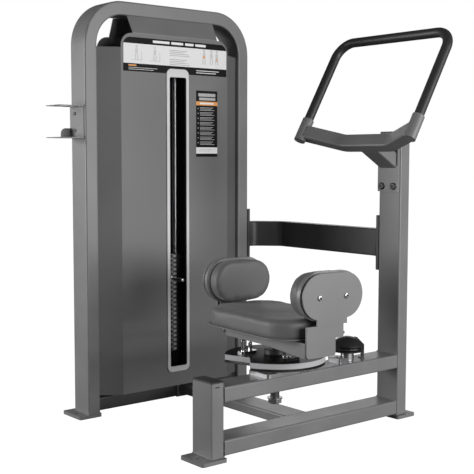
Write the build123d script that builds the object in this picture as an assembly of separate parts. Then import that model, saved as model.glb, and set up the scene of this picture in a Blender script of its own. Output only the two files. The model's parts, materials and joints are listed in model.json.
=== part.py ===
from build123d import *
import math
import os

os.makedirs("parts", exist_ok=True)

# ---------------------------------------------------------------- dimensions (mm)
# Working axes: X runs along the tower front, Y = 0 is the tower's front face and
# +Y is behind it, Z = 0 is the floor.  SHIFT puts the origin under the box's middle.
SHIFT_X = -427.5
SHIFT_Y = 394.0

# one rectangular tube is used for the whole frame
TUBE_W = 100.0
TUBE_T = 50.0
WALL = 3.0
TUBE_R = 6.0
FOOT_T = 12.0

# tower
HOOP_W = 750.0
HOOP_H = 1500.0
HOOP_R = 160.0
TOWER_Y = 50.0
CROSS_Z = (15.0, 65.0)
CROSS_Y = (25.0, 75.0)
HEAD_BAR_Z = (1290.0, 1310.0)

# covers
SHEET = 2.0
COVER_X = (50.0, 129.0, 618.0, 700.0)
COVER_Y = (18.0, -31.0)
COVER_Z = (75.0, 1333.0, 1385.0)
GUARD_HALF = (192.0, 197.0)
SLOT_X = 378.0
BEZEL_W = 103.0
BEZEL_Z = (129.0, 1268.0)
WINDOW_W = 77.0
WINDOW_Z = (150.0, 1237.0)
BEZEL_T = 5.0
PLACARD_X = (139.0, 612.0)
PLACARD_Z = (1250.0, 1371.0)
LABEL_X = (466.0, 568.0)
LABEL_Z = (943.0, 1193.0)

# accessory holder
ACCESSORY_Y = (10.0, 103.0)
ACCESSORY_Z = (1009.0, 1124.0)
ACCESSORY_SCREW_Y = 68.0
ACCESSORY_SCREW_Z = (1036.0, 1096.0)
SHELF_X = -100.0

# weight stack
STACK_X = 375.0
PLATE_L = 280.0
PLATE_D = 80.0
PITCH = 17.0
STACK_Z = 200.0
RESTING = 16
LIFTED = 5
GAP = 0.3
ROD_D = 20.0
ROD_X = 50.0
STEM_D = 24.0
PIN_D = 9.0
RUN = 0.06

# seat axis and frame in front of the tower
AXIS_X = 325.0
AXIS_Y = -639.0
BEAM_Y = -640.0
LOW_Z = (15.0, 65.0)
HIGH_Z = (183.0, 233.0)
LEFT_POST_X = 44.0
RIGHT_POST_X = 898.0
LEFT_POST_TOP = 248.0
RIGHT_POST_TOP = 1028.0
CAP_T = 5.0
FLOOR_BEAM_X = (416.0, 516.0)
FLOOR_BEAM_Z = (29.0, 64.0)
BACK_BEAM_Z = 631.0
PLATE_T = 12.0

# cable and pulleys
CABLE_D = 6.0
CABLE_Z = 277.25
TOP_R = 40.0
TOP_Z = 1385.0
TOP_X = (415.0, 535.0)
BASE_R = 35.0
GUIDE_R = 50.0
GUIDE_X = 665.0
GUIDE_Y = -639.0
CAM_R = 150.0
ANCHOR = 75.0
AXLE_D = 12.0

# turntable
CAM_RIM = 165.0
CAM_ARC = (-160.0, 145.0)
NOTCH_R = 106.0
NOTCH_AT = 178.0
CAM_Z = (271.0, 274.0, 280.5, 298.0)
PLUNGER_X = 267.0
PLUNGER_Y = -753.0
LEVER_Z = 313.0
STOP_PINS = ((254.0, 341.0), (285.0, 331.0))
STOP_PIN_Y = -560.0
SHAFT_D = 30.0
HUB_D = 44.0
SEAT_TURN = -4.0
BRACKET_Z = 345.0
CHANNEL_X = (-86.0, 60.0)
CHANNEL_T = 6.0
CHANNEL_END = 158.0
BRACKET_LOW = 333.0
BOARD_T = 12.0
CUSHION_X = (-155.0, 150.0)
CUSHION_Y = (-232.0, 230.0)
CUSHION_Z = (380.0, 445.0)
END_Y = 255.0
END_T = 8.0
PAD_X = 15.0
PAD_Z = 519.0
PAD_PLATE = (120.0, 142.0)
PAD_BOARD = (122.0, 151.0)
PAD_FOAM = (118.0, 146.0)
PAD_SCREW_X = (-39.0, 68.0)
PAD_SCREW_Z = 516.0

# handle
HANDLE_T = math.radians(30.5)
HANDLE_D = 34.0
SOCKET_D = 42.0
SOCKET_L = 88.0
LEG_Y = 258.0
LEG_X = 672.0
LEG_Z = 1001.0
LEG_L = 420.7
BEND_R = 65.0
CROSS_C = (759.0, 991.0)
CROSS_HALF = 108.0
CROSS_OUT = 75.5


# ---------------------------------------------------------------- helpers
def block(x0, x1, y0, y1, z0, z1):
    """Plain box from its six faces."""
    middle = Pos((x0 + x1) / 2, (y0 + y1) / 2, (z0 + z1) / 2)
    return middle * Box(x1 - x0, y1 - y0, z1 - z0)


def rod(x, y, z0, z1, diameter):
    """Upright round bar."""
    return Pos(x, y, (z0 + z1) / 2) * Cylinder(diameter / 2, z1 - z0)


def rod_y(x, y0, y1, z, diameter):
    """Round bar along Y."""
    return Pos(x, (y0 + y1) / 2, z) * Rot(90, 0, 0) * Cylinder(diameter / 2, y1 - y0)


def rod_x(x0, x1, y, z, diameter):
    """Round bar along X."""
    return Pos((x0 + x1) / 2, y, z) * Rot(0, 90, 0) * Cylinder(diameter / 2, x1 - x0)


def tube_section(wide, thick, radius=TUBE_R, wall=WALL):
    """Hollow rounded-rectangle section."""
    inner = RectangleRounded(wide - 2 * wall, thick - 2 * wall, radius - wall)
    return RectangleRounded(wide, thick, radius) - inner


def tube_up(x, y, z0, z1, along_x, along_y):
    """Upright rectangular tube."""
    return Pos(x, y, z0) * extrude(tube_section(along_x, along_y), z1 - z0)


def tube_across(x0, x1, y, z, along_y, along_z):
    """Rectangular tube along X."""
    section = Plane.YZ * tube_section(along_y, along_z)
    return Pos(x0, y, z) * extrude(section, x1 - x0)


def rounded_path(points, radii):
    """Wire through the points, each inner corner replaced by a tangent arc."""
    corners = [Vector(*p) for p in points]
    edges = []
    here = corners[0]
    for i in range(1, len(corners) - 1):
        corner = corners[i]
        back = (corners[i - 1] - corner).normalized()
        ahead = (corners[i + 1] - corner).normalized()
        half = math.radians(back.get_angle(ahead)) / 2
        reach = radii[i - 1] / math.tan(half)
        start = corner + back * reach
        end = corner + ahead * reach
        bisector = (back + ahead).normalized()
        centre = corner + bisector * (radii[i - 1] / math.sin(half))
        middle = centre - bisector * radii[i - 1]
        if (start - here).length > 1e-4:
            edges.append(Edge.make_line(here, start))
        edges.append(Edge.make_three_point_arc(start, middle, end))
        here = end
    if (corners[-1] - here).length > 1e-4:
        edges.append(Edge.make_line(here, corners[-1]))
    return Wire(edges)


def swept(section, path, x_dir):
    """Section swept along a path, its own X axis laid along x_dir at the start."""
    start = Plane(origin=path @ 0, x_dir=x_dir, z_dir=path % 0)
    return sweep(start * section, path=path)


def mitred_strip(points, thick):
    """Closed outline of a folded sheet: the points are its outer face."""
    inner = []
    for i, point in enumerate(points):
        here = Vector(*point)
        before = here - Vector(*points[i - 1]) if i > 0 else None
        after = Vector(*points[i + 1]) - here if i < len(points) - 1 else None
        normals = []
        for run in (before, after):
            if run is not None:
                run = run.normalized()
                normals.append(Vector(-run.Y, run.X))
        bisector = normals[0]
        if len(normals) == 2:
            bisector = (normals[0] + normals[1]).normalized()
        reach = thick / bisector.dot(normals[0])
        move = bisector * reach
        inner.append((here.X + move.X, here.Y + move.Y))
    return Polygon(*points, *reversed(inner), align=None)


def pulley(groove_r, thick, bore):
    """Grooved pulley about Z: groove_r is the cable's centre line."""
    rim = groove_r + 5
    floor = groove_r - CABLE_D / 2 - GAP
    half = thick / 2
    outline = [
        (bore / 2, -half), (rim, -half), (rim, -half + 2.5), (floor, -3.2),
        (floor, 3.2), (rim, half - 2.5), (rim, half), (bore / 2, half),
    ]
    face = Plane.XZ * Polygon(*outline, align=None)
    wheel = revolve(face, Axis.Z)
    return wheel


def round_bolt(length):
    """Button-head bolt, shank down -Z from the head's seat at Z = 0."""
    head = Cylinder(13, 7, align=(Align.CENTER, Align.CENTER, Align.MIN))
    head = fillet(head.edges().group_by(Axis.Z)[-1], 5)
    shank = Cylinder(6, length, align=(Align.CENTER, Align.CENTER, Align.MAX))
    return head + shank


# ---------------------------------------------------------------- worked-out geometry
def cable_points():
    """Corner points and radii of the cable from the first top pulley to the cam."""
    start = (STACK_X, TOWER_Y)
    down = (TOP_X[1] + TOP_R, TOWER_Y)
    away_x = GUIDE_X - down[0]
    away_y = GUIDE_Y - down[1]
    far = math.hypot(away_x, away_y)
    heading = math.atan2(away_y, away_x) + math.asin(GUIDE_R / far)
    span = GUIDE_X - AXIS_X
    cross = math.pi - math.asin((GUIDE_R + CAM_R) / span)
    leave = cross + math.pi / 2
    touch = cross - math.pi / 2
    arrive = heading + math.pi / 2
    tip = (arrive + leave - 2 * math.pi) / 2
    half = (arrive - leave + 2 * math.pi) / 2
    reach = GUIDE_R / math.cos(half)
    guide_corner = (GUIDE_X + reach * math.cos(tip), GUIDE_Y + reach * math.sin(tip))
    anchor = math.radians(ANCHOR)
    tip = (touch + anchor) / 2
    reach = CAM_R / math.cos((anchor - touch) / 2)
    cam_corner = (AXIS_X + reach * math.cos(tip), AXIS_Y + reach * math.sin(tip))
    end = (AXIS_X + CAM_R * math.cos(anchor), AXIS_Y + CAM_R * math.sin(anchor))
    points = [
        (start[0], start[1], TOP_Z),
        (start[0], start[1], TOP_Z + TOP_R),
        (down[0], down[1], TOP_Z + TOP_R),
        (down[0], down[1], CABLE_Z),
        (guide_corner[0], guide_corner[1], CABLE_Z),
        (cam_corner[0], cam_corner[1], CABLE_Z),
        (end[0], end[1], CABLE_Z),
    ]
    return points, [TOP_R, TOP_R, BASE_R, GUIDE_R, CAM_R], heading


CABLE_POINTS, CABLE_RADII, HEADING = cable_points()
RUN_X = math.cos(HEADING)
RUN_Y = math.sin(HEADING)
BASE_X = CABLE_POINTS[3][0] + BASE_R * RUN_X
BASE_Y = CABLE_POINTS[3][1] + BASE_R * RUN_Y
BASE_Z = CABLE_Z + BASE_R
HOLE_X = CABLE_POINTS[3][0] + RUN_X * (CABLE_POINTS[3][1] - COVER_Y[1]) / -RUN_Y
STACK_TOP = STACK_Z + RESTING * PITCH
HEAD_Z = STACK_TOP + GAP + LIFTED * PITCH
PIN_Z = STACK_TOP + GAP + PITCH / 2
STEM_TOP = HEAD_Z + PITCH + 26
TILT_D = Vector(math.sin(HANDLE_T), 0, math.cos(HANDLE_T))
TILT_N = Vector(-math.cos(HANDLE_T), 0, math.sin(HANDLE_T))


# ---------------------------------------------------------------- tower
def flange_bolts_tower():
    """Seats of the bolts on the hoop's right face."""
    return [(y, z) for y in (18.0, 82.0) for z in (BACK_BEAM_Z - 72, BACK_BEAM_Z + 78)]


def tower_hoop():
    half = TUBE_T / 2
    top = HOOP_H - half
    right = HOOP_W - half
    points = [
        (half, TOWER_Y, FOOT_T), (half, TOWER_Y, top),
        (right, TOWER_Y, top), (right, TOWER_Y, FOOT_T),
    ]
    bend = HOOP_R - half
    path = rounded_path(points, [bend, bend])
    hoop = swept(tube_section(TUBE_T, TUBE_W), path, (1, 0, 0))
    for y, z in flange_bolts_tower():
        hoop -= rod_x(HOOP_W - 20, HOOP_W + 5, y, z, 12)
    for z in ACCESSORY_SCREW_Z:
        hoop -= rod_x(-1, 12, ACCESSORY_SCREW_Y, z, 6)
    return hoop


def tower_crossmember():
    middle_y = sum(CROSS_Y) / 2
    middle_z = sum(CROSS_Z) / 2
    return tube_across(TUBE_T, HOOP_W - TUBE_T, middle_y, middle_z, 50, 50)


def anchor_plate(x0, x1, y0, y1, hole_x, hole_y):
    plate = block(x0, x1, y0, y1, 0, FOOT_T)
    plate = fillet(plate.edges().filter_by(Axis.Z), 8)
    return plate - rod(hole_x, hole_y, -1, FOOT_T + 1, 14)


def tower_foot_plates():
    left = anchor_plate(-36, 57, 0, 124, -18, 50)
    right = anchor_plate(HOOP_W - 57, HOOP_W + 36, 0, 124, HOOP_W + 18, 50)
    return [left, right]


def crosshead():
    low, high = HEAD_BAR_Z
    bar = block(TUBE_T + SHEET, HOOP_W - TUBE_T - SHEET, 25, 75, low, high)
    bar -= rod(STACK_X, TOWER_Y, low - 1, high + 1, 16)
    bar -= rod(CABLE_POINTS[3][0], TOWER_Y, low - 1, high + 1, 16)
    for side in (-1, 1):
        bar -= rod(STACK_X + side * ROD_X, TOWER_Y, low - 1, low + 12, ROD_D)
    return bar


def guide_rods():
    rods = []
    for side in (-1, 1):
        x = STACK_X + side * ROD_X
        one = rod(x, TOWER_Y, CROSS_Z[1], HEAD_BAR_Z[0] + 12, ROD_D)
        rods.append(one)
    return rods


def stack_bumpers():
    """Rubber-topped stools that the stack stands on."""
    stools = []
    for side in (-1, 1):
        x = STACK_X + side * ROD_X
        stool = rod(x, TOWER_Y, CROSS_Z[1], STACK_Z - 24, 50)
        stool += rod(x, TOWER_Y, STACK_Z - 24, STACK_Z, 62)
        stool -= rod(x, TOWER_Y, 0, STACK_Z + 1, ROD_D)
        stools.append(stool)
    return stools


# ---------------------------------------------------------------- covers
def cover_shape():
    """Front cover before its cut-outs: fold lines in plan, rounded shoulders on top."""
    x0, x1, x2, x3 = COVER_X
    back, front = COVER_Y
    low, shoulder, top = COVER_Z
    outer = [
        (x0, back + 25), (x0, back), (x1, front),
        (x2, front), (x3, back), (x3, back + 25),
    ]
    strip = mitred_strip(outer, SHEET)
    tall = Pos(0, 0, low) * extrude(strip, top - low)
    sides = block(x0 - 1, x3 + 1, front - 1, back + 30, low - 1, shoulder)
    panel = block(x1, x2, front - 1, front + SHEET + 3, low, top)
    corners = panel.edges().filter_by(Axis.Y).group_by(Axis.Z)[-1]
    panel = fillet(corners, 46)
    return tall & (sides + panel)


def front_cover():
    cover = cover_shape()
    half = WINDOW_W / 2 + 3
    cover -= block(SLOT_X - half, SLOT_X + half, -40, -20, WINDOW_Z[0] - 3, WINDOW_Z[1] + 3)
    cover -= rod_y(HOLE_X, -60, 0, CABLE_Z, 20)
    return cover


def back_cover():
    return mirror(cover_shape(), Plane.XZ.offset(-TOWER_Y))


def top_guard():
    """Sloped sheet that closes the gap between the cover and the hoop."""
    front = COVER_Y[1] + SHEET
    under = HOOP_H - TUBE_T
    outline = [
        (front, COVER_Z[2] - 25), (front, COVER_Z[2] + 3),
        (3, under), (25, under),
    ]
    inner = mitred_strip([(y, z) for y, z in reversed(outline)], SHEET)
    sheet = extrude(Plane.YZ * inner, 2 * GUARD_HALF[1])
    sheet = Pos(STACK_X - GUARD_HALF[1], 0, 0) * sheet
    wide = GUARD_HALF[1]
    narrow = GUARD_HALF[0]
    face = Plane.XZ * Polygon(
        (-narrow, COVER_Z[2] - 30), (narrow, COVER_Z[2] - 30),
        (wide, under + 1), (-wide, under + 1), align=None)
    keep = Pos(STACK_X, 0, 0) * extrude(face, 80, both=True)
    return sheet & keep


def top_guards():
    front = top_guard()
    return [front, mirror(front, Plane.XZ.offset(-TOWER_Y))]


def bezel_blank():
    face = COVER_Y[1]
    frame = block(SLOT_X - BEZEL_W / 2, SLOT_X + BEZEL_W / 2, face - BEZEL_T, face, *BEZEL_Z)
    return fillet(frame.edges().filter_by(Axis.Y), 22)


def slot_bezel():
    face = COVER_Y[1]
    frame = bezel_blank()
    frame = fillet(frame.faces().sort_by(Axis.Y)[0].outer_wire().edges(), 2.5)
    half = WINDOW_W / 2
    hole = block(SLOT_X - half, SLOT_X + half, face - 20, face + 20, *WINDOW_Z)
    hole = fillet(hole.edges().filter_by(Axis.Y), 8)
    return frame - hole


def placard():
    face = COVER_Y[1]
    plate = block(PLACARD_X[0], PLACARD_X[1], face - 1.5, face, *PLACARD_Z)
    plate = fillet(plate.edges().filter_by(Axis.Y).group_by(Axis.Z)[-1], 30)
    return plate - bezel_blank()


def instruction_label():
    face = COVER_Y[1]
    return block(LABEL_X[0], LABEL_X[1], face - 0.6, face, *LABEL_Z)


# ---------------------------------------------------------------- accessory holder
def accessory_holder():
    """Folded bracket: wall plate, two shelves and a rounded rear tab."""
    low, high = ACCESSORY_Z
    y0, y1 = ACCESSORY_Y
    plate = block(-3, 0, y0, y1, low, high)
    top = block(SHELF_X, 0, y0, y1, high - 3, high)
    bottom = block(SHELF_X, 0, y0, y1, low, low + 3)
    top -= rod(-54, (y0 + y1) / 2, high - 10, high + 10, 74)
    tab = block(-42, 0, y1 - 3, y1, low, low + 36)
    tab = fillet(tab.edges().filter_by(Axis.Y).sort_by(Axis.X)[:2].sort_by(Axis.Z)[-1:], 20)
    holder = plate + top + bottom + tab
    for z in ACCESSORY_SCREW_Z:
        holder -= rod_x(-10, 10, ACCESSORY_SCREW_Y, z, 6)
    return holder


def accessory_screws():
    screws = []
    for z in ACCESSORY_SCREW_Z:
        head = rod_x(-7, -3, ACCESSORY_SCREW_Y, z, 12)
        screws.append(head + rod_x(-3, 12, ACCESSORY_SCREW_Y, z, 6))
    return screws


# ---------------------------------------------------------------- weight stack
def plate_blank(z):
    plate = Pos(STACK_X, TOWER_Y, z + PITCH / 2) * Box(PLATE_L, PLATE_D, PITCH)
    plate = chamfer(plate.edges(), 0.9)
    for side in (-1, 1):
        plate -= rod(STACK_X + side * ROD_X, TOWER_Y, z - 1, z + PITCH + 1, ROD_D + 0.2)
    return plate


def stack_plate(z):
    """One weight: two rod holes, the stem hole and the pin hole from the front."""
    plate = plate_blank(z)
    plate -= rod(STACK_X, TOWER_Y, z - 1, z + PITCH + 1, STEM_D + 2)
    front = TOWER_Y - PLATE_D / 2
    return plate - rod_y(STACK_X, front - 5, TOWER_Y, z + PITCH / 2, PIN_D + 2 * RUN)


def rest_plates():
    return [stack_plate(STACK_Z + i * PITCH) for i in range(RESTING)]


def lifted_plates():
    base = STACK_TOP + GAP
    return [stack_plate(base + i * PITCH) for i in range(LIFTED)]


def head_plate():
    plate = plate_blank(HEAD_Z)
    front = TOWER_Y - PLATE_D / 2
    plate -= rod_y(STACK_X, front - 5, front + 8, HEAD_Z + PITCH / 2, PIN_D)
    return plate - rod(STACK_X, TOWER_Y, HEAD_Z - 1, HEAD_Z + PITCH + 1, STEM_D)


def selector_stem():
    """Drilled stem hanging from the head plate, with the cable's end fitting on top."""
    stem = rod(STACK_X, TOWER_Y, STACK_Z + 4, HEAD_Z + PITCH, STEM_D)
    stem += rod(STACK_X, TOWER_Y, HEAD_Z + PITCH, STEM_TOP, 20)
    for i in range(RESTING):
        z = STACK_Z + (i + 0.5) * PITCH
        stem -= rod_y(STACK_X, TOWER_Y - 20, TOWER_Y + 20, z, PIN_D + 2 * RUN)
    for i in range(LIFTED):
        z = STACK_TOP + GAP + (i + 0.5) * PITCH
        stem -= rod_y(STACK_X, TOWER_Y - 20, TOWER_Y + 20, z, PIN_D + 2 * RUN)
    return stem


def selector_pin():
    front = TOWER_Y - PLATE_D / 2
    pin = rod_y(STACK_X, -40, TOWER_Y + 11, PIN_Z, PIN_D)
    knob = rod_y(STACK_X, -67, -40, PIN_Z, 14)
    knob = fillet(knob.edges().group_by(Axis.Y)[0], 3)
    collar = rod_y(STACK_X, front - 5, front - 1, PIN_Z, 16)
    return pin + knob + collar


# ---------------------------------------------------------------- pulleys and cable
def cable_main_run():
    path = rounded_path(CABLE_POINTS, CABLE_RADII)
    return swept(Circle(CABLE_D / 2), path, (1, 0, 0))


def cable_stack_run():
    return rod(STACK_X, TOWER_Y, STEM_TOP, TOP_Z, CABLE_D)


def top_pulley(x):
    wheel = pulley(TOP_R, 18, AXLE_D + 2 * RUN)
    return Pos(x, TOWER_Y, TOP_Z) * Rot(90, 0, 0) * wheel


def top_pulley_bracket():
    """Two hanging cheeks under the hoop's top tube."""
    cheeks = []
    for y in (TOWER_Y - 17, TOWER_Y + 11):
        cheek = block(388, 562, y, y + 6, TOP_Z - 22, HOOP_H - TUBE_T)
        for x in TOP_X:
            cheek -= rod_y(x, y - 5, y + 11, TOP_Z, AXLE_D)
        cheeks.append(cheek)
    return cheeks


def base_place(shape):
    """Place a shape built with its pulley plane on XZ and its centre at the origin."""
    turn = math.degrees(math.atan2(RUN_Y, RUN_X))
    return Pos(BASE_X, BASE_Y, BASE_Z) * Rot(0, 0, turn) * shape


def base_pulley():
    return base_place(Rot(90, 0, 0) * pulley(BASE_R, 18, AXLE_D + 2 * RUN))


def base_pulley_bracket():
    cheeks = []
    foot = CROSS_Z[1] - BASE_Z
    outline = [
        (-55, foot), (-11, foot), (-11, -60), (16, -28),
        (16, 22), (-55, 22),
    ]
    for y in (-17.0, 11.0):
        face = Plane.XZ * Polygon(*outline, align=None)
        cheek = Pos(0, y + 6, 0) * extrude(face, 6)
        cheek -= Rot(90, 0, 0) * Cylinder(AXLE_D / 2, 80)
        cheeks.append(base_place(cheek))
    return cheeks


def pulley_axles():
    axles = []
    for x in TOP_X:
        axles.append(rod_y(x, TOWER_Y - 20, TOWER_Y + 20, TOP_Z, AXLE_D))
    axles.append(base_place(Rot(90, 0, 0) * Cylinder(AXLE_D / 2, 40)))
    return axles


def guide_pulley():
    return Pos(GUIDE_X, GUIDE_Y, CABLE_Z) * pulley(GUIDE_R, 22, 16 + 2 * RUN)


def guide_pulley_block():
    """Light mounting block with its spare hole, and the spacer under the pulley."""
    top = HIGH_Z[1]
    base = block(598, 641, GUIDE_Y - 30, GUIDE_Y + 30, top, top + 17)
    base = fillet(base.edges().filter_by(Axis.Z), 5)
    base -= rod(614, GUIDE_Y, top - 1, top + 30, 12)
    spacer = rod(GUIDE_X, GUIDE_Y, top, CABLE_Z - 11.5, 46)
    spacer += block(641, GUIDE_X, GUIDE_Y - 15, GUIDE_Y + 15, top, top + 8)
    return base + spacer - rod(GUIDE_X, GUIDE_Y, top - 1, top + 40, 16)


def guide_pulley_axle():
    return rod(GUIDE_X, GUIDE_Y, HIGH_Z[1], 303, 16)


def guide_pulley_dome():
    """Spun dome over the pulley, carried on the axle's end."""
    low = CABLE_Z + 12
    high = 318.0
    wide = 57.5
    rise = high - low
    ball = (wide * wide + rise * rise) / (2 * rise)
    dome = Pos(GUIDE_X, GUIDE_Y, high - ball) * Sphere(ball)
    inner = Pos(GUIDE_X, GUIDE_Y, high - ball) * Sphere(ball - 3)
    boss = rod(GUIDE_X, GUIDE_Y, 296, 317, 28)
    shell = dome - inner + (boss & dome)
    shell = shell & rod(GUIDE_X, GUIDE_Y, low, high + 1, 140)
    return shell - rod(GUIDE_X, GUIDE_Y, 290, 303, 16)


def guide_pulley_guard():
    """Bent strap that keeps the cable in the guide pulley's groove."""
    outline = [
        (727, 237), (727, 233), (744, 233), (744, 280),
        (706, 311), (706, 307), (740, 278), (740, 237),
    ]
    face = Plane.XZ * Polygon(*outline, align=None)
    return Pos(0, GUIDE_Y + 7, 0) * extrude(face, 14)


# ---------------------------------------------------------------- frame in front
def short_post():
    return tube_up(LEFT_POST_X, BEAM_Y, FOOT_T, LEFT_POST_TOP, TUBE_T, TUBE_W)


def flange_bolts_post():
    """Heights of the bolts on the tall post's rear face."""
    return (BACK_BEAM_Z - 76, BACK_BEAM_Z + 76)


def right_post():
    post = tube_up(RIGHT_POST_X, BEAM_Y, FOOT_T, RIGHT_POST_TOP, TUBE_T, TUBE_W)
    back = BEAM_Y + TUBE_W / 2
    for z in flange_bolts_post():
        post -= rod_y(RIGHT_POST_X, back - 20, back + 5, z, 12)
    for y in (-27, 27):
        post -= rod_x(RIGHT_POST_X - 30, RIGHT_POST_X - 10, BEAM_Y + y, 838, 12)
    return post


def post_caps():
    caps = []
    for x, z in ((LEFT_POST_X, LEFT_POST_TOP), (RIGHT_POST_X, RIGHT_POST_TOP)):
        top = extrude(RectangleRounded(TUBE_T, TUBE_W, TUBE_R), CAP_T)
        top = fillet(top.edges().group_by(Axis.Z)[-1], 2)
        plug = Pos(0, 0, -12) * extrude(
            RectangleRounded(TUBE_T - 2 * WALL, TUBE_W - 2 * WALL, TUBE_R - WALL), 12)
        caps.append(Pos(x, BEAM_Y, z) * (top + plug))
    return caps


def beam_between_posts(z_range):
    x0 = LEFT_POST_X + TUBE_T / 2
    x1 = RIGHT_POST_X - TUBE_T / 2
    return tube_across(x0, x1, BEAM_Y, sum(z_range) / 2, TUBE_W, TUBE_T)


def lower_beam():
    return beam_between_posts(LOW_Z)


def upper_beam():
    beam = beam_between_posts(HIGH_Z)
    return beam - rod(AXIS_X, AXIS_Y, HIGH_Z[0] - 1, HIGH_Z[1] + 1, 56)


def front_foot_plates():
    left = anchor_plate(-27, 71, -705, -588, -4, -648)
    right = anchor_plate(862, 955, -705, -580, 939, -648)
    return [left, right]


def floor_beam():
    """Flat floor tube with its end plate on the tower side."""
    x0, x1 = FLOOR_BEAM_X
    z0, z1 = FLOOR_BEAM_Z
    front = BEAM_Y + TUBE_W / 2
    end = CROSS_Y[0]
    section = Plane.XZ * tube_section(x1 - x0, z1 - z0)
    tube = extrude(section, end - 8 - front)
    tube = Pos((x0 + x1) / 2, end - 8, (z0 + z1) / 2) * tube
    plate = block(x0 - 8, x1 + 8, end - 8, end, CROSS_Z[0], CROSS_Z[1])
    return tube + plate


def back_beam():
    x0 = HOOP_W + PLATE_T
    x1 = RIGHT_POST_X
    y1 = BEAM_Y + TUBE_W / 2 + PLATE_T
    points = [
        (x0, 40, BACK_BEAM_Z), (x1 - 89, 40, BACK_BEAM_Z),
        (x1, -49, BACK_BEAM_Z), (x1, y1, BACK_BEAM_Z),
    ]
    path = rounded_path(points, [60, 60])
    return swept(tube_section(TUBE_T, TUBE_W), path, (0, 1, 0))


def back_beam_flanges():
    z0 = BACK_BEAM_Z - 100
    z1 = BACK_BEAM_Z + 100
    tower = block(HOOP_W, HOOP_W + PLATE_T, 0, 100, z0 + 3, z1 + 3)
    for y, z in flange_bolts_tower():
        tower -= rod_x(HOOP_W - 5, HOOP_W + 30, y, z, 12)
    back = BEAM_Y + TUBE_W / 2
    post = block(RIGHT_POST_X - 25, RIGHT_POST_X + 25, back, back + PLATE_T, z0, z1)
    for z in flange_bolts_post():
        post -= rod_y(RIGHT_POST_X, back - 5, back + 30, z, 12)
    return [tower, post]


def frame_bolts():
    bolts = []
    for y, z in flange_bolts_tower():
        bolts.append(Pos(HOOP_W + PLATE_T, y, z) * Rot(0, 90, 0) * round_bolt(24))
    back = BEAM_Y + TUBE_W / 2 + PLATE_T
    for z in flange_bolts_post():
        bolts.append(Pos(RIGHT_POST_X, back, z) * Rot(-90, 0, 0) * round_bolt(24))
    face = RIGHT_POST_X - TUBE_T / 2 - PLATE_T
    for y in (-27, 27):
        bolts.append(Pos(face, BEAM_Y + y, 838) * Rot(0, -90, 0) * round_bolt(24))
    return bolts


# ---------------------------------------------------------------- handle
def handle_leg(side, along):
    """Point on a leg's centre line, measured up from its lower end."""
    foot = Vector(LEG_X, BEAM_Y + side * LEG_Y, LEG_Z)
    return foot + TILT_D * along


def handle_bar():
    points = [
        tuple(handle_leg(-1, 4)), tuple(handle_leg(-1, LEG_L)),
        tuple(handle_leg(1, LEG_L)), tuple(handle_leg(1, 4)),
    ]
    path = rounded_path(points, [BEND_R, BEND_R])
    ring = Circle(HANDLE_D / 2) - Circle(HANDLE_D / 2 - 3)
    return swept(ring, path, (0, 1, 0))


def socket_blank(side, diameter, low, high):
    start = handle_leg(side, low)
    plane = Plane(origin=start, x_dir=(0, 1, 0), z_dir=TILT_D)
    return extrude(plane * Circle(diameter / 2), high - low)


def handle_sockets():
    sockets = []
    for side in (-1, 1):
        outer = socket_blank(side, SOCKET_D, 0, SOCKET_L)
        inner = socket_blank(side, HANDLE_D, 4, SOCKET_L + 2)
        sockets.append(outer - inner)
    return sockets


def handle_crossbar():
    x, z = CROSS_C
    sweep_out = TILT_N * CROSS_OUT + Vector(0, LEG_Y - CROSS_HALF, 0)
    short = (sweep_out.length - 12) / sweep_out.length
    far = Vector(x, BEAM_Y + CROSS_HALF, z) + sweep_out * short
    near = Vector(far.X, 2 * BEAM_Y - far.Y, far.Z)
    points = [
        tuple(near), (x, BEAM_Y - CROSS_HALF, z),
        (x, BEAM_Y + CROSS_HALF, z), tuple(far),
    ]
    path = rounded_path(points, [60, 60])
    bar = swept(tube_section(50, 45), path, TILT_D)
    for side in (-1, 1):
        bar -= socket_blank(side, SOCKET_D, -40, SOCKET_L + 40)
    return bar


def handle_arm():
    """Tilted arm tube with its flange plate on the tall post."""
    x, z = CROSS_C
    face = RIGHT_POST_X - TUBE_T / 2 - PLATE_T
    start = Vector(x, BEAM_Y, z) - TILT_N * 22.5
    plane = Plane(origin=start, x_dir=(0, 1, 0), z_dir=-TILT_N)
    tube = extrude(plane * tube_section(80, 48), 180)
    tube = tube & block(0, face, BEAM_Y - 60, BEAM_Y + 60, 700, 1200)
    plate = block(face, face + PLATE_T, BEAM_Y - 46, BEAM_Y + 46, 819, 980)
    for y in (-27, 27):
        plate -= rod_x(face - 5, face + 30, BEAM_Y + y, 838, 12)
    return tube + plate


# ---------------------------------------------------------------- turntable
def cam_point(radius, degrees):
    angle = math.radians(degrees)
    return (AXIS_X + radius * math.cos(angle), AXIS_Y + radius * math.sin(angle))


def cam_outline(rim):
    """Round plate with a wedge notched out of its left side."""
    first, last = CAM_ARC
    notch = cam_point(NOTCH_R, NOTCH_AT)
    edges = [
        ThreePointArc(cam_point(rim, first), cam_point(rim, (first + last) / 2), cam_point(rim, last)),
        Line(cam_point(rim, last), notch),
        Line(notch, cam_point(rim, first)),
    ]
    return make_face(edges)


def cam_plate():
    """Thick upper cam plate with the plunger's housing."""
    top = CAM_Z[3]
    plate = Pos(0, 0, CAM_Z[2]) * extrude(cam_outline(CAM_RIM), top - CAM_Z[2])
    plate += rod(PLUNGER_X, PLUNGER_Y, top, top + 11, 26)
    plate += block(PLUNGER_X, PLUNGER_X + 52, PLUNGER_Y - 9, PLUNGER_Y + 9, top, top + 10)
    plate -= rod(AXIS_X, AXIS_Y, 200, 300, HUB_D)
    return plate - rod(PLUNGER_X, PLUNGER_Y, 200, 320, 12 + 2 * RUN)


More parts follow.
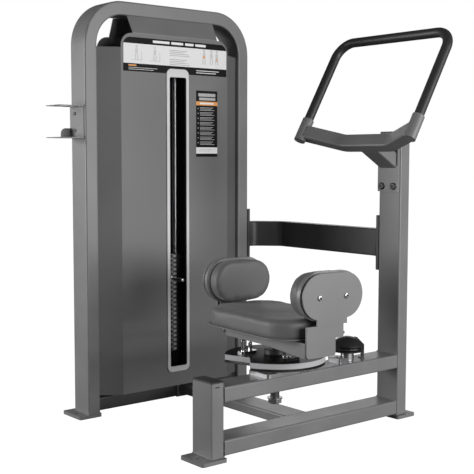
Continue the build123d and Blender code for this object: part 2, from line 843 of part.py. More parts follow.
def cam_flange():
    """Thin lower flange and the groove's floor."""
    flange = Pos(0, 0, CAM_Z[0]) * extrude(cam_outline(CAM_RIM), CAM_Z[1] - CAM_Z[0])
    core_r = CAM_R - CABLE_D / 2 - GAP
    core = Pos(0, 0, CAM_Z[1]) * extrude(cam_outline(core_r), CAM_Z[2] - CAM_Z[1])
    both = flange + core - rod(AXIS_X, AXIS_Y, 200, 300, HUB_D)
    return both - rod(PLUNGER_X, PLUNGER_Y, 200, 320, 12 + 2 * RUN)


def index_plunger():
    """Spring plunger lifted by its side lever."""
    pin = rod(PLUNGER_X, PLUNGER_Y, CAM_Z[0] + 1, LEVER_Z + 4, 12)
    pin = chamfer(pin.edges().group_by(Axis.Z)[0], 1.5)
    knob = rod(PLUNGER_X, PLUNGER_Y, CAM_Z[3] + 11.3, LEVER_Z + 5, 20)
    pin += fillet(knob.edges().group_by(Axis.Z)[-1], 2)
    lever = rod_x(PLUNGER_X, PLUNGER_X + 64, PLUNGER_Y, LEVER_Z, 5)
    return pin + lever


def stop_pins():
    """Two chrome stop pins on one small carrier plate, on the cam's lobe."""
    low = CAM_Z[3]
    plate = block(238, 302, -578, -544, low, low + 6)
    plate = fillet(plate.edges().filter_by(Axis.Z), 8)
    for x, top in STOP_PINS:
        pin = rod(x, STOP_PIN_Y, low + 6, top, 13)
        plate += fillet(pin.edges().group_by(Axis.Z)[-1], 3)
    return plate


def bearing_housing():
    """Flanged housing welded through the upper beam."""
    under, top = HIGH_Z
    sleeve = rod(AXIS_X, AXIS_Y, under, 252, 56)
    plate = block(250, 400, BEAM_Y - 50, BEAM_Y + 50, top, top + 13)
    plate = fillet(plate.edges().filter_by(Axis.Z), 10)
    return sleeve + plate - rod(AXIS_X, AXIS_Y, under - 1, 260, SHAFT_D + 2 * RUN)


def main_shaft():
    shaft = rod(AXIS_X, AXIS_Y, 133, 252.3, SHAFT_D)
    return shaft + rod(AXIS_X, AXIS_Y, 252.3, BRACKET_Z, HUB_D)


def shaft_nut():
    nut = Pos(AXIS_X, AXIS_Y, 136) * extrude(RegularPolygon(23, 6), 14)
    washer = rod(AXIS_X, AXIS_Y, 150, 153.7, 50)
    return nut + washer - rod(AXIS_X, AXIS_Y, 130, 160, SHAFT_D)


def seat_place(shape):
    """From the seat's own axes to the machine: turned about the shaft."""
    return Pos(AXIS_X, AXIS_Y, 0) * Rot(0, 0, SEAT_TURN) * shape


def end_plate(side):
    """Upright end of the bracket, stepped outward, with a tongue behind the pad's plate."""
    y0 = min(side * END_Y, side * (END_Y + END_T))
    low, high = (-84, 30) if side < 0 else (-28, CHANNEL_X[1])
    plate = block(low, high, y0, y0 + END_T, BRACKET_LOW, 430)
    lower = plate.edges().filter_by(Axis.Y).group_by(Axis.Z)[0]
    plate = fillet(lower, 9)
    if side < 0:
        plate += block(low, 62, y0, y0 + END_T, 388, 430)
    return plate + block(-40, 26, y0, y0 + END_T, 425, 484)


def channel_wall(x, side):
    """Wall of the channel, deepening towards the end plate it meets."""
    top = CUSHION_Z[0]
    outline = [
        (side * END_Y, BRACKET_LOW), (side * 60, BRACKET_Z), (-side * CHANNEL_END, BRACKET_Z),
        (-side * CHANNEL_END, top), (side * END_Y, top),
    ]
    face = Plane.YZ * Polygon(*outline, align=None)
    return Pos(x, 0, 0) * extrude(face, CHANNEL_T, dir=(1, 0, 0))


def seat_bracket():
    """Channel across the shaft with one end plate at each side of the seat."""
    left, right = CHANNEL_X
    outline = [
        (left, -END_Y), (30, -END_Y), (30, -CHANNEL_END), (right, -CHANNEL_END),
        (right, END_Y), (-28, END_Y), (-28, CHANNEL_END), (left, CHANNEL_END),
    ]
    base = Pos(0, 0, BRACKET_Z) * extrude(Polygon(*outline, align=None), CHANNEL_T)
    walls = channel_wall(left, -1) + channel_wall(right - CHANNEL_T, 1)
    return seat_place(base + walls + end_plate(-1) + end_plate(1))


def rounded_slab(x_range, y_range, z0, z1, radius):
    wide = x_range[1] - x_range[0]
    deep = y_range[1] - y_range[0]
    face = RectangleRounded(wide, deep, radius)
    return Pos(sum(x_range) / 2, sum(y_range) / 2, z0) * extrude(face, z1 - z0)


def seat_board():
    """Board let into the channel, under the cushion."""
    x0 = CHANNEL_X[0] + CHANNEL_T
    x1 = CHANNEL_X[1] - CHANNEL_T
    top = CUSHION_Z[0]
    return seat_place(block(x0, x1, -150, 150, top - BOARD_T, top))


def seat_cushion():
    slab = rounded_slab(CUSHION_X, CUSHION_Y, *CUSHION_Z, 95)
    slab = fillet(slab.edges().group_by(Axis.Z)[-1], 20)
    slab = fillet(slab.edges().group_by(Axis.Z)[0], 8)
    return seat_place(slab)


def stadium(half, high, y_in, thick, side):
    """Round-ended slab standing on edge, from y_in outward."""
    face = Plane.XZ * SlotOverall(2 * half, high)
    slab = extrude(face, thick)
    y = y_in + thick if side > 0 else -y_in
    return Pos(PAD_X, y, PAD_Z) * slab


def hip_pad_plates():
    plates = []
    for side in (-1, 1):
        inner = END_Y + END_T
        plate = stadium(*PAD_PLATE, inner, 5, side)
        y0 = min(side * inner, side * (inner + 5))
        plate += block(-48, 72, y0, y0 + 5, 431, 490)
        for x in PAD_SCREW_X:
            plate -= rod_y(x, y0 - 5, y0 + 10, PAD_SCREW_Z, 8)
        plates.append(seat_place(plate))
    return plates


def hip_pad_boards():
    boards = []
    for side in (-1, 1):
        board = stadium(*PAD_BOARD, END_Y - 15, 15, side)
        for x in PAD_SCREW_X:
            y0 = min(side * (END_Y - 9), side * (END_Y + 1))
            board -= rod_y(x, y0, y0 + 10, PAD_SCREW_Z, 8)
        boards.append(seat_place(board))
    return boards


def hip_pad_cushions():
    pads = []
    for side in (-1, 1):
        pad = stadium(*PAD_FOAM, 190, 50, side)
        inner_edges = pad.edges().group_by(Axis.Y)[-1 if side < 0 else 0]
        pad = fillet(inner_edges, 20)
        pads.append(seat_place(pad))
    return pads


def hip_pad_screws():
    screws = []
    for side in (-1, 1):
        for x in PAD_SCREW_X:
            face = side * (END_Y + END_T + 5)
            shank_end = side * (END_Y - 9)
            shank = rod_y(x, min(face, shank_end), max(face, shank_end), PAD_SCREW_Z, 8)
            spacer_a = side * END_Y
            spacer_b = side * (END_Y + END_T)
            spacer = rod_y(x, min(spacer_a, spacer_b), max(spacer_a, spacer_b), PAD_SCREW_Z, 22)
            tip = face + side * 5
            head = rod_y(x, min(face, tip), max(face, tip), PAD_SCREW_Z, 18)
            outer = head.edges().group_by(Axis.Y)[-1 if side > 0 else 0]
            head = fillet(outer, 2.5)
            screws.append(seat_place(shank + spacer + head))
    return screws


# ---------------------------------------------------------------- export
def save(name, shape):
    """Write one node; a list becomes separate solids in the same file."""
    move = Pos(SHIFT_X, SHIFT_Y, 0)
    if isinstance(shape, (list, tuple)):
        solids = [move * one for one in shape]
        shape = Compound(label=name, children=solids)
    else:
        shape = move * shape
        shape.label = name
    export_step(shape, "parts/" + name + ".step")


save("tower_hoop", tower_hoop())
save("tower_crossmember", tower_crossmember())
save("tower_foot_plates", tower_foot_plates())
save("crosshead", crosshead())
save("guide_rods", guide_rods())
save("stack_bumpers", stack_bumpers())
save("front_cover", front_cover())
save("back_cover", back_cover())
save("top_guards", top_guards())
save("slot_bezel", slot_bezel())
save("placard", placard())
save("instruction_label", instruction_label())
save("accessory_holder", accessory_holder())
save("accessory_screws", accessory_screws())
save("rest_plates", rest_plates())
save("lifted_plates", lifted_plates())
save("head_plate", head_plate())
save("selector_stem", selector_stem())
save("selector_pin", selector_pin())
save("cable_main_run", cable_main_run())
save("cable_stack_run", cable_stack_run())
save("top_pulley_left", top_pulley(TOP_X[0]))
save("top_pulley_right", top_pulley(TOP_X[1]))
save("top_pulley_bracket", top_pulley_bracket())
save("base_pulley", base_pulley())
save("base_pulley_bracket", base_pulley_bracket())
save("pulley_axles", pulley_axles())
save("guide_pulley", guide_pulley())
save("guide_pulley_block", guide_pulley_block())
save("guide_pulley_axle", guide_pulley_axle())
save("guide_pulley_dome", guide_pulley_dome())
save("guide_pulley_guard", guide_pulley_guard())
save("short_post", short_post())
save("right_post", right_post())
save("post_caps", post_caps())
save("lower_beam", lower_beam())
save("upper_beam", upper_beam())
save("front_foot_plates", front_foot_plates())
save("floor_beam", floor_beam())
save("back_beam", back_beam())
save("back_beam_flanges", back_beam_flanges())
save("frame_bolts", frame_bolts())
save("handle_bar", handle_bar())
save("handle_sockets", handle_sockets())
save("handle_crossbar", handle_crossbar())
save("handle_arm", handle_arm())
save("cam_plate", cam_plate())
save("cam_flange", cam_flange())
save("index_plunger", index_plunger())
save("stop_pins", stop_pins())
save("bearing_housing", bearing_housing())
save("main_shaft", main_shaft())
save("shaft_nut", shaft_nut())
save("seat_bracket", seat_bracket())
save("seat_board", seat_board())
save("seat_cushion", seat_cushion())
save("hip_pad_plates", hip_pad_plates())
save("hip_pad_boards", hip_pad_boards())
save("hip_pad_cushions", hip_pad_cushions())
save("hip_pad_screws", hip_pad_screws())
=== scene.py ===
import json
import math

import bmesh
import bpy
from mathutils import Matrix, Vector


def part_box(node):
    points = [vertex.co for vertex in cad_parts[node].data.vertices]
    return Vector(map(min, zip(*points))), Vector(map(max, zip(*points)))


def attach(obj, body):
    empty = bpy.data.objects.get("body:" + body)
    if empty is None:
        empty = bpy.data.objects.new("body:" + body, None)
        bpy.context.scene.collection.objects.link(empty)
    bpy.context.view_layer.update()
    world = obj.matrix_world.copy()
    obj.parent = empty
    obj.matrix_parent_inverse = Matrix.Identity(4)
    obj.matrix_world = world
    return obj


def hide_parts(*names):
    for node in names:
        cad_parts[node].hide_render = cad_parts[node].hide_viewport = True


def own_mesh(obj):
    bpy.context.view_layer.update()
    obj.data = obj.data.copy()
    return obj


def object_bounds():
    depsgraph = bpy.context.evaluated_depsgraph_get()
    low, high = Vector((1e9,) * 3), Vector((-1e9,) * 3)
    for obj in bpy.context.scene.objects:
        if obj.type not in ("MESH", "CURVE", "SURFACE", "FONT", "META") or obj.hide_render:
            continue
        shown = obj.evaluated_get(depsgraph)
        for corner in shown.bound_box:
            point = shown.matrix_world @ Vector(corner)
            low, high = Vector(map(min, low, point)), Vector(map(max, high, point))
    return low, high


bl_info = {
    "name": "Rotary torso machine",
    "version": (1, 0, 0),
    "blender": (4, 5, 0),
    "location": "View3D > Sidebar > Machine",
    "description": "Builds the looks of a seated rotary machine around its packed frame",
    "category": "Object",
}

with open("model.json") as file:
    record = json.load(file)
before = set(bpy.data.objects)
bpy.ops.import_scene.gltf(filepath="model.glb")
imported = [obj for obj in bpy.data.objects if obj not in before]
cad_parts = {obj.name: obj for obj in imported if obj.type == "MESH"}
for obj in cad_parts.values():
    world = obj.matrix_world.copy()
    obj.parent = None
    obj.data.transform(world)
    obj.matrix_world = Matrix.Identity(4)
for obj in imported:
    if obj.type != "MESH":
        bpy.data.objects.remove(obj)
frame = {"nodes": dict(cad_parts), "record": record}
CAD_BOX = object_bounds()
NODES = frame["nodes"]

# The seat is parked a few degrees off square about its shaft.
SEAT_TURN = math.radians(-4.0)


# ------------------------------------------------------------------ settings
class FinishSettings(bpy.types.PropertyGroup):
    frame_colour: bpy.props.FloatVectorProperty(
        name="Frame paint", description="Powder coat on the frame tubes",
        subtype="COLOR", size=3, min=0, max=1, default=(0.185, 0.185, 0.188))
    cover_colour: bpy.props.FloatVectorProperty(
        name="Cover paint", description="Powder coat on the tower covers",
        subtype="COLOR", size=3, min=0, max=1, default=(0.150, 0.150, 0.153))
    dark_colour: bpy.props.FloatVectorProperty(
        name="Dark paint", description="Powder coat on the brackets and rear beam",
        subtype="COLOR", size=3, min=0, max=1, default=(0.040, 0.040, 0.041))
    pad_colour: bpy.props.FloatVectorProperty(
        name="Upholstery", description="Vinyl of the seat and side pads",
        subtype="COLOR", size=3, min=0, max=1, default=(0.125, 0.125, 0.128))
    accent_colour: bpy.props.FloatVectorProperty(
        name="Accent", description="Accent bars on the placard and sticker",
        subtype="COLOR", size=3, min=0, max=1, default=(0.80, 0.33, 0.07))


class PadSettings(bpy.types.PropertyGroup):
    seat_size: bpy.props.FloatVectorProperty(
        name="Seat size", description="Seat cushion's width, length and thickness",
        subtype="XYZ", unit="LENGTH", size=3, default=(0.305, 0.462, 0.065))
    seat_corner: bpy.props.FloatProperty(
        name="Seat corner", description="Corner radius of the seat in plan",
        unit="LENGTH", default=0.095)
    pad_size: bpy.props.FloatVectorProperty(
        name="Side pad size", description="Side pad's width, thickness and height",
        subtype="XYZ", unit="LENGTH", size=3, default=(0.236, 0.050, 0.146))
    seat_cap: bpy.props.FloatProperty(
        name="Seat swell", description="Furthest that the seat's cover may swell",
        unit="LENGTH", default=0.005)
    pad_cap: bpy.props.FloatProperty(
        name="Pad swell", description="Furthest that a side pad's cover may swell",
        unit="LENGTH", default=0.003)
    voxel: bpy.props.FloatProperty(
        name="Cloth mesh", description="Edge length of the cloth mesh",
        unit="LENGTH", default=0.005)
    piping: bpy.props.FloatProperty(
        name="Piping", description="Thickness of the sewn piping",
        unit="LENGTH", default=0.005)


class StageSettings(bpy.types.PropertyGroup):
    eye: bpy.props.FloatVectorProperty(
        name="Eye", description="Where the camera stands",
        subtype="TRANSLATION", unit="LENGTH", size=3, default=(-2.2417, -2.6144, 0.9406))
    heading: bpy.props.FloatProperty(
        name="Heading", description="Camera heading from +Y towards +X",
        subtype="ANGLE", unit="ROTATION", default=math.radians(38.77))
    pitch: bpy.props.FloatProperty(
        name="Pitch", description="How far the camera looks down",
        subtype="ANGLE", unit="ROTATION", default=math.radians(4.63))
    lens: bpy.props.FloatProperty(
        name="Lens", description="Focal length in millimetres", default=74.65)
    shift: bpy.props.FloatProperty(
        name="Shift", description="Sideways shift of the lens", default=0.038)


# ------------------------------------------------------------------ node groups
def new_group(name, inputs, outputs):
    group = bpy.data.node_groups.new(name, "ShaderNodeTree")
    for label, kind, value in inputs:
        socket = group.interface.new_socket(name=label, in_out="INPUT", socket_type=kind)
        socket.default_value = value
    for label, kind in outputs:
        group.interface.new_socket(name=label, in_out="OUTPUT", socket_type=kind)
    start = group.nodes.new("NodeGroupInput")
    end = group.nodes.new("NodeGroupOutput")
    return group, start, end


def map_range(tree, source, low, high, from_low=0.3, from_high=0.7):
    node = tree.nodes.new("ShaderNodeMapRange")
    node.inputs["From Min"].default_value = from_low
    node.inputs["From Max"].default_value = from_high
    tree.links.new(source, node.inputs["Value"])
    for value, socket in ((low, "To Min"), (high, "To Max")):
        if isinstance(value, float):
            node.inputs[socket].default_value = value
        else:
            tree.links.new(value, node.inputs[socket])
    return node.outputs["Result"]


def object_noise(tree, scale, detail=3.0, stretch=None):
    place = tree.nodes.new("ShaderNodeTexCoord")
    source = place.outputs["Object"]
    if stretch:
        mapping = tree.nodes.new("ShaderNodeMapping")
        mapping.inputs["Scale"].default_value = stretch
        tree.links.new(source, mapping.inputs["Vector"])
        source = mapping.outputs["Vector"]
    noise = tree.nodes.new("ShaderNodeTexNoise")
    noise.inputs["Detail"].default_value = detail
    tree.links.new(source, noise.inputs["Vector"])
    if isinstance(scale, float):
        noise.inputs["Scale"].default_value = scale
    else:
        tree.links.new(scale, noise.inputs["Scale"])
    return noise.outputs["Fac"]


def shade_drift_group():
    """Slow drift of colour and gloss over a surface, as handling and dust leave it."""
    group, start, end = new_group(
        "shade_drift",
        [("Dark", "NodeSocketColor", (0.1, 0.1, 0.1, 1)),
         ("Light", "NodeSocketColor", (0.2, 0.2, 0.2, 1)),
         ("Scale", "NodeSocketFloat", 6.0),
         ("Rough Low", "NodeSocketFloat", 0.4),
         ("Rough High", "NodeSocketFloat", 0.5)],
        [("Colour", "NodeSocketColor"), ("Roughness", "NodeSocketFloat")])
    noise = object_noise(group, start.outputs["Scale"], 4.0)
    mix = group.nodes.new("ShaderNodeMix")
    mix.data_type = "RGBA"
    group.links.new(map_range(group, noise, 0.0, 1.0), mix.inputs["Factor"])
    group.links.new(start.outputs["Dark"], mix.inputs["A"])
    group.links.new(start.outputs["Light"], mix.inputs["B"])
    group.links.new(mix.outputs["Result"], end.inputs["Colour"])
    rough = map_range(group, noise, start.outputs["Rough Low"], start.outputs["Rough High"])
    group.links.new(rough, end.inputs["Roughness"])
    return group


def peel_group():
    """Orange peel of a powder coat or the tooth of a moulding."""
    group, start, end = new_group(
        "fine_peel", [("Scale", "NodeSocketFloat", 700.0)], [("Height", "NodeSocketFloat")])
    fine = object_noise(group, start.outputs["Scale"], 2.0)
    group.links.new(fine, end.inputs["Height"])
    return group


def grain_group():
    """Leather-like cells of an upholstery vinyl, broken up by finer noise."""
    group, start, end = new_group(
        "vinyl_grain", [("Scale", "NodeSocketFloat", 420.0)], [("Height", "NodeSocketFloat")])
    place = group.nodes.new("ShaderNodeTexCoord")
    cells = group.nodes.new("ShaderNodeTexVoronoi")
    cells.feature = "DISTANCE_TO_EDGE"
    group.links.new(place.outputs["Object"], cells.inputs["Vector"])
    group.links.new(start.outputs["Scale"], cells.inputs["Scale"])
    edge = map_range(group, cells.outputs["Distance"], 0.0, 1.0, 0.0, 0.25)
    fine = object_noise(group, 1500.0, 2.0)
    add = group.nodes.new("ShaderNodeMath")
    add.operation = "MULTIPLY_ADD"
    group.links.new(fine, add.inputs[0])
    add.inputs[1].default_value = 0.35
    group.links.new(edge, add.inputs[2])
    group.links.new(add.outputs["Value"], end.inputs["Height"])
    return group


def brushed_group():
    """Long scratches along one axis, as turning or brushing leaves them."""
    group, start, end = new_group(
        "brush_lines", [("Scale", "NodeSocketFloat", 300.0)], [("Height", "NodeSocketFloat")])
    lines = object_noise(group, start.outputs["Scale"], 3.0, (0.06, 0.06, 4.0))
    group.links.new(lines, end.inputs["Height"])
    return group


GROUPS = {}


def build_groups():
    GROUPS["drift"] = shade_drift_group()
    GROUPS["peel"] = peel_group()
    GROUPS["grain"] = grain_group()
    GROUPS["brushed"] = brushed_group()


# ------------------------------------------------------------------ materials
def scaled(colour, factor):
    return tuple(min(1.0, c * factor) for c in colour) + (1.0,)


def place_group(tree, key):
    node = tree.nodes.new("ShaderNodeGroup")
    node.node_tree = GROUPS[key]
    return node


def finish_of(name, colour, rough, metal=0.0, texture="peel", scale=700.0, bump=0.12,
              depth=0.0004, spread=0.07, drift=6.0, coat=0.0, sheen=0.0):
    """One material: drifting colour and gloss, a fine bump, plain shader constants."""
    material = bpy.data.materials.new(name)
    material.use_nodes = True
    tree = material.node_tree
    shader = tree.nodes["Principled BSDF"]
    shader.inputs["Metallic"].default_value = metal
    shader.inputs["Coat Weight"].default_value = coat
    shader.inputs["Coat Roughness"].default_value = 0.25
    shader.inputs["Sheen Weight"].default_value = sheen
    drifting = place_group(tree, "drift")
    drifting.inputs["Dark"].default_value = scaled(colour, 1 - spread)
    drifting.inputs["Light"].default_value = scaled(colour, 1 + spread)
    drifting.inputs["Scale"].default_value = drift
    drifting.inputs["Rough Low"].default_value = max(0.05, rough - 0.05)
    drifting.inputs["Rough High"].default_value = min(1.0, rough + 0.06)
    tree.links.new(drifting.outputs["Colour"], shader.inputs["Base Color"])
    tree.links.new(drifting.outputs["Roughness"], shader.inputs["Roughness"])
    relief = place_group(tree, texture)
    relief.inputs["Scale"].default_value = scale
    node = tree.nodes.new("ShaderNodeBump")
    node.inputs["Strength"].default_value = bump
    node.inputs["Distance"].default_value = depth
    tree.links.new(relief.outputs["Height"], node.inputs["Height"])
    tree.links.new(node.outputs["Normal"], shader.inputs["Normal"])
    return material


def banded(name, base, bands, rough=0.4, metal=0.0):
    """Colour in level bands: each band is (height where it starts, colour). It carries the
    print of the placard and sticker, and the painted shade on the cam's top face.
    """
    material = finish_of(name, base, rough, metal, spread=0.02, bump=0.05)
    tree = material.node_tree
    shader = tree.nodes["Principled BSDF"]
    shader.inputs["Specular IOR Level"].default_value = 0.08
    place = tree.nodes.new("ShaderNodeTexCoord")
    split = tree.nodes.new("ShaderNodeSeparateXYZ")
    tree.links.new(place.outputs["Object"], split.inputs["Vector"])
    last = tree.nodes["Group"].outputs["Colour"]
    for start, colour in bands:
        above = tree.nodes.new("ShaderNodeMath")
        above.operation = "GREATER_THAN"
        above.inputs[1].default_value = start
        tree.links.new(split.outputs["Z"], above.inputs[0])
        mix = tree.nodes.new("ShaderNodeMix")
        mix.data_type = "RGBA"
        tree.links.new(above.outputs["Value"], mix.inputs["Factor"])
        tree.links.new(last, mix.inputs["A"])
        mix.inputs["B"].default_value = tuple(colour) + (1.0,)
        last = mix.outputs["Result"]
    tree.links.new(last, shader.inputs["Base Color"])
    return material


PAINTS = {}
BLACK = (0.008, 0.008, 0.008)
# Near black laid on the cam's top face as painted shade.
CAM_TOP_SHADE = (0.012, 0.012, 0.012)
WHITE = (0.86, 0.86, 0.86)


def build_paints(finish):
    """Every finish of the machine, by the record's slot names and a few extra."""
    frame_paint = tuple(finish.frame_colour)
    cover = tuple(finish.cover_colour)
    dark = tuple(finish.dark_colour)
    pads = tuple(finish.pad_colour)
    accent = tuple(finish.accent_colour)
    PAINTS["frame_paint"] = finish_of("frame_paint", frame_paint, 0.42, coat=0.10)
    PAINTS["cover_paint"] = finish_of("cover_paint", cover, 0.45, drift=3.0)
    PAINTS["dark_paint"] = finish_of("dark_paint", dark, 0.42, coat=0.10)
    PAINTS["light_plastic"] = finish_of("light_plastic", (0.66, 0.66, 0.66), 0.38, scale=900.0)
    PAINTS["black_plastic"] = finish_of("black_plastic", (0.018, 0.018, 0.018), 0.4)
    PAINTS["grip_rubber"] = finish_of(
        "grip_rubber", (0.030, 0.030, 0.031), 0.42, scale=1400.0, bump=0.2)
    PAINTS["black_rubber"] = finish_of("black_rubber", (0.016, 0.016, 0.016), 0.75)
    PAINTS["bright_steel"] = finish_of(
        "bright_steel", (0.72, 0.72, 0.73), 0.14, 1.0, spread=0.03, bump=0.03)
    PAINTS["brushed"] = finish_of(
        "brushed", (0.42, 0.42, 0.43), 0.32, 1.0, "brushed", 300.0, 0.10)
    PAINTS["stack_paint"] = finish_of("stack_paint", (0.020, 0.020, 0.021), 0.38, coat=0.2)
    PAINTS["cable_coat"] = finish_of(
        "cable_coat", (0.010, 0.010, 0.010), 0.25, scale=1500.0, coat=0.4)
    PAINTS["pad_cover"] = finish_of(
        "pad_cover", pads, 0.52, texture="grain", scale=420.0, bump=0.22,
        depth=0.0005, spread=0.06, drift=9.0, sheen=0.15)
    PAINTS["board_wood"] = finish_of(
        "board_wood", (0.28, 0.19, 0.11), 0.6, texture="brushed", scale=160.0, bump=0.3)
    PAINTS["rim_plastic"] = finish_of("rim_plastic", (0.20, 0.20, 0.205), 0.35)
    # The piping is real; its tone, the vinyl's colour made 35 % lighter, is a painted
    # highlight on the rolled seam.
    PAINTS["piping"] = finish_of("piping", scaled(pads, 1.35)[:3], 0.42, scale=1500.0)
    PAINTS["accent_print"] = finish_of("accent_print", accent, 0.4, spread=0.03, bump=0.04)
    PAINTS["white_print"] = finish_of("white_print", WHITE, 0.4, spread=0.02, bump=0.04)
    PAINTS["grey_print"] = finish_of("grey_print", (0.42, 0.42, 0.42), 0.4, spread=0.03)
    PAINTS["faint_print"] = finish_of("faint_print", (0.62, 0.62, 0.62), 0.4, spread=0.03)
    # Lighter grey for the plates' tabs and for the painted highlight on their top edges.
    PAINTS["tab_mark_and_edge_highlight"] = finish_of("tab_mark_and_edge_highlight", (0.30, 0.30, 0.30), 0.4, spread=0.03)
    # Painted shade: near black for the insides of the screw sockets and the short post's vent.
    PAINTS["recess_painted_shade"] = finish_of("recess_painted_shade", (0.006, 0.006, 0.006), 0.6)
    # Painted shade: the cam's top face, under the seat, is painted near black over its grey
    # finish.
    low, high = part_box("cam_flange")
    PAINTS["cam_finish"] = banded(
        "cam_finish", (0.46, 0.46, 0.47), [(low.z + CAM_HIGH - 0.0004, CAM_TOP_SHADE)], 0.42)
    low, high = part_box("placard")
    span = (high.z - low.z) / 121.0
    PAINTS["placard_print"] = banded(
        "placard_print", BLACK,
        [(low.z + 28 * span, WHITE), (low.z + 99 * span, BLACK)])
    low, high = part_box("instruction_label")
    PAINTS["label_print"] = banded(
        "label_print", BLACK,
        [(low.z + 0.012, WHITE), (low.z + 0.036, BLACK)])


def paint(obj, key):
    obj.data.materials.clear()
    obj.data.materials.append(PAINTS[key])


def paint_frame_nodes():
    """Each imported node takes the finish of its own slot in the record."""
    for row in frame["record"]["subparts"]:
        node = NODES[row["node"]]
        for index in range(max(1, len(node.material_slots))):
            if not node.material_slots:
                node.data.materials.append(None)
            node.material_slots[index].material = PAINTS[row["material_slot"]]


# ------------------------------------------------------------------ shape helpers
def link(mesh_maker, name):
    mesh = bpy.data.meshes.new(name)
    mesh_maker.to_mesh(mesh)
    mesh_maker.free()
    obj = bpy.data.objects.new(name, mesh)
    bpy.context.scene.collection.objects.link(obj)
    return obj


def smooth(obj, degrees=35):
    for face in obj.data.polygons:
        face.use_smooth = True
    obj.data.set_sharp_from_angle(angle=math.radians(degrees))
    return obj


def bevel(bm, edges, offset, segments):
    bmesh.ops.bevel(
        bm, geom=list(edges), offset=offset, offset_type="OFFSET", affect="EDGES",
        segments=segments, profile=0.5, material=-1, clamp_overlap=True)


def slab(size, corner, soft, corner_steps=10, soft_steps=4, place=Matrix.Identity(4)):
    """Rounded slab standing on its middle: corner rounds the plan, soft the rims."""
    bm = bmesh.new()
    bmesh.ops.create_cube(bm, size=1.0)
    bmesh.ops.scale(bm, vec=size, verts=bm.verts)
    if corner > 0:
        upright = [e for e in bm.edges if abs(e.verts[0].co.z - e.verts[1].co.z) > 1e-6]
        bevel(bm, upright, min(corner, 0.4999 * min(size[0], size[1])), corner_steps)
        bmesh.ops.remove_doubles(bm, verts=bm.verts, dist=1e-6)
    if soft > 0:
        rims = [e for e in bm.edges if abs(e.verts[0].co.z - e.verts[1].co.z) < 1e-6]
        bevel(bm, rims, soft, soft_steps)
        bmesh.ops.remove_doubles(bm, verts=bm.verts, dist=1e-6)
    bmesh.ops.recalc_face_normals(bm, faces=bm.faces)
    bmesh.ops.transform(bm, matrix=place, verts=bm.verts)
    return bm


def merge(parts):
    """Several bmeshes as one."""
    whole = bmesh.new()
    for part in parts:
        mesh = bpy.data.meshes.new("part")
        part.to_mesh(mesh)
        part.free()
        whole.from_mesh(mesh)
        bpy.data.meshes.remove(mesh)
    return whole


def upright_x(x, y, z):
    """Slab's plan laid in the YZ plane, its own X along Y and its Z along X."""
    turn = Matrix(((0, 0, 1, 0), (1, 0, 0, 0), (0, 1, 0, 0), (0, 0, 0, 1)))
    return Matrix.Translation((x, y, z)) @ turn


def upright_y(x, y, z):
    """Slab's plan laid in the XZ plane, its Z along -Y."""
    return Matrix.Translation((x, y, z)) @ Matrix.Rotation(math.pi / 2, 4, "X")


def level(x, y, z):
    return Matrix.Translation((x, y, z))


def seat_axis():
    """The shaft's centre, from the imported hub."""
    low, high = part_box("main_shaft")
    return (low + high) / 2


def seat_matrix():
    """From the seat's own axes to the machine's."""
    axis = seat_axis()
    return Matrix.Translation((axis.x, axis.y, 0)) @ Matrix.Rotation(SEAT_TURN, 4, "Z")


def finished(obj, body, key, replaces=()):
    """Paint a piece, fasten it to its body and hide the imported parts that it replaces."""
    paint(obj, key)
    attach(obj, body)
    if replaces:
        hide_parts(*replaces)
    return obj


# ------------------------------------------------------------------ upholstery
def remeshed(obj, voxel):
    modifier = obj.modifiers.new("Remesh", "REMESH")
    modifier.mode = "VOXEL"
    modifier.voxel_size = voxel
    modifier.use_smooth_shade = True
    apply_modifiers(obj)


def apply_modifiers(obj):
    graph = bpy.context.evaluated_depsgraph_get()
    mesh = bpy.data.meshes.new_from_object(obj.evaluated_get(graph))
    obj.modifiers.clear()
    old = obj.data
    obj.data = mesh
    bpy.data.meshes.remove(old)


def swell(obj, cap, pressure=4.0):
    """Blow the cover up a little as cloth, then hold every point within cap."""
    rest = [v.co.copy() for v in obj.data.vertices]
    cloth = obj.modifiers.new("Cloth", "CLOTH")
    cloth.settings.quality = 4
    cloth.settings.use_pressure = True
    cloth.settings.uniform_pressure_force = pressure
    cloth.settings.effector_weights.gravity = 0.0
    scene = bpy.context.scene
    for number in range(1, 19):
        scene.frame_set(number)
    apply_modifiers(obj)
    for vertex, start in zip(obj.data.vertices, rest):
        move = vertex.co - start
        if move.length > cap:
            move = move * (cap / move.length)
        vertex.co = start + move
    scene.frame_set(1)


def upholstered(name, size, corner, soft, place, cap, voxel):
    """A foam pad under a fitted cover."""
    inner = tuple(s - 1.4 * cap for s in size)
    obj = link(slab(inner, corner, soft, 14, 6, place), name)
    remeshed(obj, voxel)
    swell(obj, cap)
    relax = obj.modifiers.new("Smooth", "SMOOTH")
    relax.factor = 0.5
    relax.iterations = 10
    subdivide = obj.modifiers.new("Subdivision", "SUBSURF")
    subdivide.levels = 1
    subdivide.render_levels = 1
    apply_modifiers(obj)
    return smooth(obj, 60)


SEAT_LOCAL = (-0.0025, -0.001)
SEAT_SOFT = 0.011
SEAT_SEAM_UP = 0.006
PAD_SOFT = 0.013
PAD_SEAM_Y = 0.238


